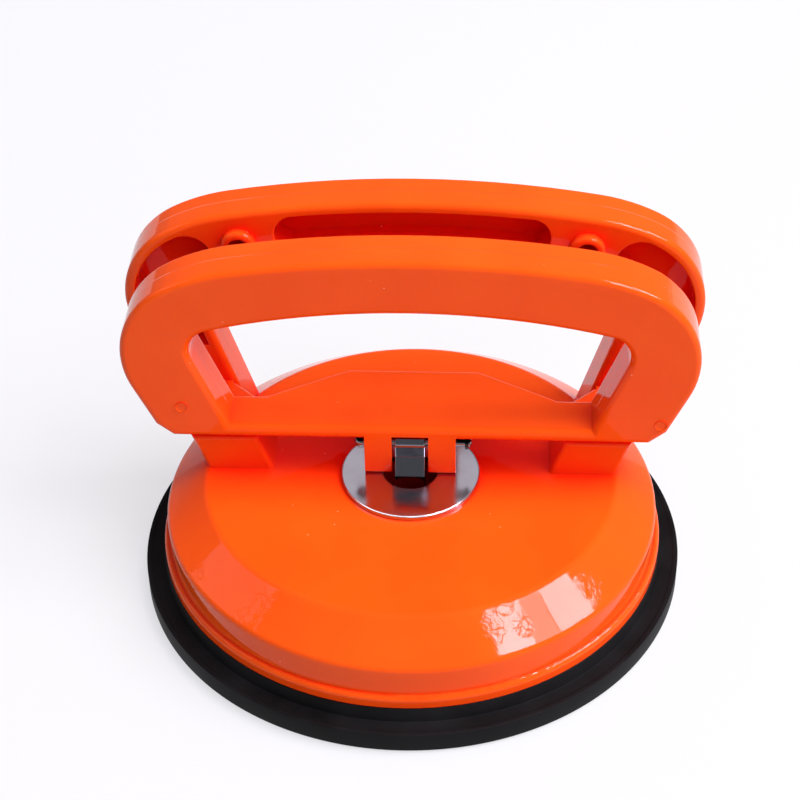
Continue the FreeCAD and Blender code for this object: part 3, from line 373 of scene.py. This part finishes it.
def makeOrangePlastic(name, edge):
    p = orangePlastic
    material, tree = newMaterial(name)
    place = addNode(tree, "TexCoord").outputs["Object"]
    pattern = {
        kind: addNode(tree, "TexNoise", {
            "Vector": place, "Scale": perMetre(size), "Detail": detail, "Roughness": fine})
        for kind, (size, detail, fine) in p["patterns"].items()}

    clouds = addNode(tree, "MapRange", {
        "Value": pattern["cloud"], "From Min": p["clouds"][0], "From Max": p["clouds"][1]})
    body = addNode(tree, "Mix", {
        "Factor": clouds, "A": linearColour(p["colour"]), "B": linearColour(p["cloudColour"])},
        data_type="RGBA")
    # painted shade: ambient occlusion mixes the redder orange in where the surface is hemmed in by itself or
    # other parts
    openness = addNode(tree, "AmbientOcclusion", {"Distance": p["paintedShadeReach"] * mm},
                       samples=p["paintedShadeSamples"]).outputs["AO"]
    depth = addNode(tree, "MapRange", {
        "Value": openness, "From Min": p["paintedShadeSpan"][0], "From Max": p["paintedShadeSpan"][1]})
    paintedShadeMix = addNode(tree, "Mix", {"Factor": depth, "A": body, "B": linearColour(p["paintedShadeColour"])},
                   data_type="RGBA")
    specks = addNode(tree, "TexVoronoi", {"Vector": place, "Scale": perMetre(p["dustSpacing"])})
    isSpeck = addNode(tree, "MapRange", {
        "Value": specks, "From Min": p["dustSpan"][0], "From Max": p["dustSpan"][1]})
    colour = addNode(tree, "Mix", {"Factor": isSpeck, "A": paintedShadeMix, "B": linearColour(p["dustColour"])},
                     data_type="RGBA")

    isPulled = 0.0
    for x, y, z, reach in p["pulledSpots"]:
        away = addNode(tree, "VectorMath", {0: place, 1: (x * mm, y * mm, z * mm)}, operation="DISTANCE")
        spot = addNode(tree, "MapRange", {
            "Value": away, "From Min": reach * mm, "From Max": reach * mm * p["pulledFull"]})
        isPulled = addNode(tree, "Math", {0: isPulled, 1: spot}, operation="MAXIMUM")
    bend = addNode(tree, "VectorMath", {0: pattern["bend"].outputs["Color"], "Scale": p["wrinkleBend"] * mm},
                   operation="SCALE")
    bent = addNode(tree, "VectorMath", {0: place, 1: bend}, operation="ADD")
    cracks = addNode(tree, "TexVoronoi", {"Vector": bent, "Scale": perMetre(p["wrinkleSpacing"])},
                     feature="DISTANCE_TO_EDGE")
    creases = addNode(tree, "MapRange", {"Value": cracks, "From Min": p["wrinkleWidth"], "From Max": 0.0})
    wrinkles = addNode(tree, "Math", {0: creases, 1: isPulled}, operation="MULTIPLY")
    pulled = addNode(tree, "Math", {0: pattern["pull"], 1: isPulled}, operation="MULTIPLY")
    rubbed = addNode(tree, "MapRange", {
        "Value": pattern["scuff"], "From Min": p["scuffs"][0], "From Max": p["scuffs"][1]})
    scuffs = addNode(tree, "Math", {0: rubbed, 1: isPulled}, operation="MULTIPLY")
    roughness = addNode(tree, "MapRange", {
        "Value": scuffs, "To Min": p["roughness"], "To Max": p["scuffedRoughness"]})

    at = addNode(tree, "SeparateXYZ", {"Vector": place}).outputs
    offSeams = []
    for y in p["partingY"]:
        offSeam = addNode(tree, "Math", {0: at["Y"], 1: y * mm}, operation="SUBTRACT")
        offSeams.append(addNode(tree, "Math", {0: offSeam}, operation="ABSOLUTE"))
    nearest = addNode(tree, "Math", {0: offSeams[0], 1: offSeams[1]}, operation="MINIMUM")
    ridge = addNode(tree, "MapRange", {
        "Value": nearest, "From Min": p["partingWidth"] * mm / 2, "From Max": 0.0})
    isHandle = addNode(tree, "MapRange", {
        "Value": at["Z"], "From Min": p["partingFrom"][0] * mm, "From Max": p["partingFrom"][1] * mm})
    seam = addNode(tree, "Math", {0: ridge, 1: isHandle}, operation="MULTIPLY")

    skin = addNode(tree, "Bevel", {"Radius": edge * mm}, samples=p["edgeSamples"])
    for relief, height, sunk in (
            (pattern["wave"], p["waveHeight"], False), (pattern["ripple"], p["rippleHeight"], False),
            (pulled, p["pullHeight"], False), (wrinkles, p["wrinkleHeight"], True),
            (seam, p["partingHeight"], False)):
        skin = addNode(tree, "Bump", {"Height": relief, "Distance": height * mm, "Normal": skin},
                       invert=sunk)
    shader = addNode(tree, "BsdfPrincipled", {
        "Base Color": colour, "Roughness": roughness, "IOR": p["ior"],
        "Specular IOR Level": p["gloss"], "Normal": skin})
    addNode(tree, "OutputMaterial", {"Surface": shader})
    return material


# Moulded natural rubber, black: a low, soft shine, a fine mould grain and a little bloom on its faces.
blackRubber = {
    "colour": "#0F0E0F",
    "bloomColour": "#1A191B",
    "bloomSize": 14,        # mm
    "bloom": (0.35, 0.7),
    "ior": 1.5,
    "shine": 0.08,          # share of the usual reflection that the bloom leaves
    "roughness": (0.42, 0.58),
    "roughnessFrom": (0.3, 0.7),
    "grainSize": 0.5,       # mm, coarser than the real grain, so that it shows
    "grainHeight": 0.004,
}


def makeBlackRubber():
    p = blackRubber
    material, tree = newMaterial("moulded black rubber")
    place = addNode(tree, "TexCoord").outputs["Object"]
    bloom = addNode(tree, "TexNoise", {"Vector": place, "Scale": perMetre(p["bloomSize"]), "Detail": 5.0})
    grain = addNode(tree, "TexNoise", {"Vector": place, "Scale": perMetre(p["grainSize"]), "Detail": 2.0})
    share = addNode(tree, "MapRange", {
        "Value": bloom, "From Min": p["bloom"][0], "From Max": p["bloom"][1]})
    colour = addNode(tree, "Mix", {
        "Factor": share, "A": linearColour(p["colour"]), "B": linearColour(p["bloomColour"])},
        data_type="RGBA")
    roughness = addNode(tree, "MapRange", {
        "Value": bloom, "From Min": p["roughnessFrom"][0], "From Max": p["roughnessFrom"][1],
        "To Min": p["roughness"][0], "To Max": p["roughness"][1]})
    bump = addNode(tree, "Bump", {"Height": grain, "Distance": p["grainHeight"] * mm})
    shader = addNode(tree, "BsdfPrincipled", {
        "Base Color": colour, "Roughness": roughness, "IOR": p["ior"],
        "Specular IOR Level": p["shine"], "Normal": bump})
    addNode(tree, "OutputMaterial", {"Surface": shader})
    return material


# Steel parts under a thin bright plate: they mirror what is round them, a little softened by the steel's
# grain and dulled in patches by handling. Lengths are in mm.
platedSteel = {
    "grainSize": 0.3,       # coarser than the real grain, so that it shows
    "grainHeight": 0.0004,
    "stainSize": 4,
    "stains": (0.35, 0.7),
    "stainedRoughness": (0.8, 1.3),  # the roughness there, as shares of the usual one
    "stainedColour": 0.86,  # and the colour's strength
}

# Each one's name, colour and roughness, and how soft its edges are.
steelFinishes = {
    "cam_washer": ("chromed pressed steel", "#C6C4CA", 0.18, 0.3),  # rolled edges, a soft bright mirror
    "link_strap": ("chromed steel strip", "#85878F", 0.12, 0.15),  # bent cold, a darker, clearer mirror
    "hinge_pin": ("zinc-plated steel pin", "#8C8C90", 0.16, 0.15),  # a plain grey shine
    "pin_clip": ("blackened spring steel", "#3C3C40", 0.25, 0.15),  # oiled and nearly black
    "insert_plate": ("zinc-plated steel plate", "#B8B8BA", 0.25, 0.15),  # pale and half matt
    "link_rivets": ("zinc-plated steel rivets", "#B8B8BA", 0.22, 0.15),
}


def makePlatedSteel(name, colour, roughness, edge):
    p = platedSteel
    material, tree = newMaterial(name)
    place = addNode(tree, "TexCoord").outputs["Object"]
    grain = addNode(tree, "TexNoise", {"Vector": place, "Scale": perMetre(p["grainSize"]), "Detail": 3.0})
    stains = addNode(tree, "TexNoise", {"Vector": place, "Scale": perMetre(p["stainSize"]), "Detail": 4.0})
    spread = addNode(tree, "MapRange", {
        "Value": stains, "From Min": p["stains"][0], "From Max": p["stains"][1],
        "To Min": roughness * p["stainedRoughness"][0], "To Max": roughness * p["stainedRoughness"][1]})
    tint = addNode(tree, "Mix", {
        "Factor": stains, "A": linearColour(colour), "B": linearColour(colour, p["stainedColour"])},
        data_type="RGBA")
    soft = addNode(tree, "Bevel", {"Radius": edge * mm}, samples=4)
    bump = addNode(tree, "Bump", {"Height": grain, "Distance": p["grainHeight"] * mm, "Normal": soft})
    shader = addNode(tree, "BsdfPrincipled", {
        "Base Color": tint, "Metallic": 1.0, "Roughness": spread, "Normal": bump})
    addNode(tree, "OutputMaterial", {"Surface": shader})
    return material


orange = makeOrangePlastic("gloss moulded ABS, orange", orangePlastic["edge"])
markOrange = makeOrangePlastic("gloss moulded ABS, orange, at an ejector mark", orangePlastic["markEdge"])
rubber = makeBlackRubber()
finishes = {"body_shell": orange, "lever_handle": orange}
for nodeName, finish in steelFinishes.items():
    finishes[nodeName] = makePlatedSteel(*finish)
for nodeName, material in finishes.items():
    nodes[nodeName].data.materials.clear()
    nodes[nodeName].data.materials.append(material)
print("materials on the moulded and steel pieces")

smoothAngle = math.radians(30)


def finishPiece(piece, material, body):
    bpy.ops.object.transform_apply(location=True, rotation=True, scale=True)  # its place goes into its mesh
    bpy.ops.object.shade_smooth_by_angle(angle=smoothAngle)
    piece.data.materials.append(material)
    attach(piece, body)


# Rubber pad, turned out of one ring of edges

pad = {
    "steps": 256,
    "edge": 0.22 * mm,      # rounding of its corners
    "cornerAngle": 30,      # degrees from which a corner is rounded
    "sealWidth": 8.4 * mm,
    "grooveWidth": 1.6 * mm,
    "grooveDepth": 0.9 * mm,
    "lift": 2.4 * mm,       # underside of the drawn-up middle
    "slope": 9.0 * mm,
    "middleThickness": 4.4 * mm,
    "footChamfer": 0.6 * mm,
    "rimHeight": 5.0 * mm,
    "rimWidth": 4.4 * mm,   # from its outside to the shell's seat
    "stepSlope": 0.6 * mm,
    "seatWidth": 3.8 * mm,
    "seatSlope": 1.5 * mm,
    "insertDepth": 2.0 * mm,  # pocket for the insert plate
    "lipWidth": 1.0 * mm,   # faint raised lip along the rim's top edge
    "lipHeight": 0.12 * mm,
}


def extrudeRing(fromRing, toRing):
    bpy.ops.mesh.extrude_region_move(TRANSFORM_OT_translate={"value": (0, 0, toRing[1] - fromRing[1])})
    size = toRing[0] / fromRing[0]
    bpy.ops.transform.resize(value=(size, size, 1))


def makeRubberPad():
    low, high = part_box("rubber_pad")
    outer = high.x
    seat = high.z
    flange = outer - pad["rimWidth"]
    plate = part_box("insert_plate")[1].x
    top = pad["lift"] + pad["middleThickness"]
    foot = outer - pad["footChamfer"]
    sealInner = foot - pad["sealWidth"]
    groove = foot - pad["sealWidth"] / 2
    rim = pad["rimHeight"]
    seatInner = flange - pad["seatWidth"]
    profile = [  # radius and height of each ring, from the underside out, over the rim and in to the plate
        (sealInner - pad["slope"], pad["lift"]),
        (sealInner, low.z),
        (groove - pad["grooveWidth"] / 2, low.z),
        (groove, low.z + pad["grooveDepth"]),
        (groove + pad["grooveWidth"] / 2, low.z),
        (foot, low.z),
        (outer, low.z + pad["footChamfer"]),
        (outer, rim),
        (outer - pad["lipWidth"], rim),
        (outer - pad["lipWidth"] - pad["lipHeight"], rim - pad["lipHeight"]),
        (flange + pad["stepSlope"], rim - pad["lipHeight"]),
        (flange, seat),
        (seatInner, seat),
        (seatInner - pad["seatSlope"], top),
        (plate, top),
        (plate, top - pad["insertDepth"]),
    ]
    bpy.ops.object.select_all(action="DESELECT")
    bpy.ops.mesh.primitive_circle_add(vertices=pad["steps"], radius=profile[0][0], fill_type="NGON",
                                      location=(0, 0, profile[0][1]))
    piece = bpy.context.object
    piece.name = "rubberPad"
    bpy.ops.object.mode_set(mode="EDIT")
    bpy.ops.mesh.select_all(action="SELECT")
    bpy.ops.mesh.flip_normals()
    bpy.ops.mesh.select_mode(type="EDGE")
    bpy.ops.mesh.select_all(action="DESELECT")
    bpy.ops.mesh.select_non_manifold()
    for fromRing, toRing in zip(profile, profile[1:]):
        extrudeRing(fromRing, toRing)
    bpy.ops.mesh.edge_face_add()
    bpy.ops.mesh.select_all(action="SELECT")
    bpy.ops.mesh.normals_make_consistent(inside=False)
    bpy.ops.object.mode_set(mode="OBJECT")
    bevel = piece.modifiers.new("softCorners", "BEVEL")
    bevel.width = pad["edge"]
    bevel.segments = 3
    bevel.limit_method = "ANGLE"
    bevel.angle_limit = math.radians(pad["cornerAngle"])
    bpy.ops.object.modifier_apply(modifier=bevel.name)
    finishPiece(piece, rubber, "body")
    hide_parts("rubber_pad")


makeRubberPad()
print("rubber pad modelled")

# Faint round marks that the ejector pins leave on the lever's face: each a thin rim round a shallow dish

ejectorMark = {
    "places": {             # in from the lever's end, and down from its top
        "Left": (12.0 * mm, 37.4 * mm),
        "Right": (7.4 * mm, 40.2 * mm),
    },
    "steps": 48,
    "radius": 1.30 * mm,
    "proud": 0.26 * mm,
    "rim": 0.22 * mm,
    "dish": 0.24 * mm,
    "edge": 0.06 * mm,
    "cornerAngle": 20,      # degrees from which a corner is rounded
}


def makeEjectorMark(side, inwards, down):
    p = ejectorMark
    low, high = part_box("lever_handle")
    x = low.x + inwards if side == "Left" else high.x - inwards
    bpy.ops.object.select_all(action="DESELECT")
    bpy.ops.mesh.primitive_cylinder_add(vertices=p["steps"], radius=p["radius"], depth=2 * p["proud"],
                                        location=(x, low.y, high.z - down), rotation=(math.pi / 2, 0, 0))
    piece = bpy.context.object
    piece.name = "ejectorMark" + side
    bpy.ops.object.transform_apply(location=True, rotation=True, scale=True)
    bpy.ops.object.mode_set(mode="EDIT")
    bpy.ops.mesh.select_mode(type="FACE")
    bpy.ops.mesh.select_all(action="DESELECT")
    bpy.ops.object.mode_set(mode="OBJECT")
    for polygon in piece.data.polygons:
        polygon.select = polygon.normal.y < -0.9  # the front cap alone
    bpy.ops.object.mode_set(mode="EDIT")
    bpy.ops.mesh.inset(thickness=p["rim"])
    bpy.ops.transform.translate(value=(0, p["dish"], 0))
    bpy.ops.object.mode_set(mode="OBJECT")
    bevel = piece.modifiers.new("softRim", "BEVEL")
    bevel.width = p["edge"]
    bevel.segments = 2
    bevel.limit_method = "ANGLE"
    bevel.angle_limit = math.radians(p["cornerAngle"])
    bpy.ops.object.modifier_apply(modifier=bevel.name)
    finishPiece(piece, markOrange, "lever")


for side, (inwards, down) in ejectorMark["places"].items():
    makeEjectorMark(side, inwards, down)
print("ejector marks made")
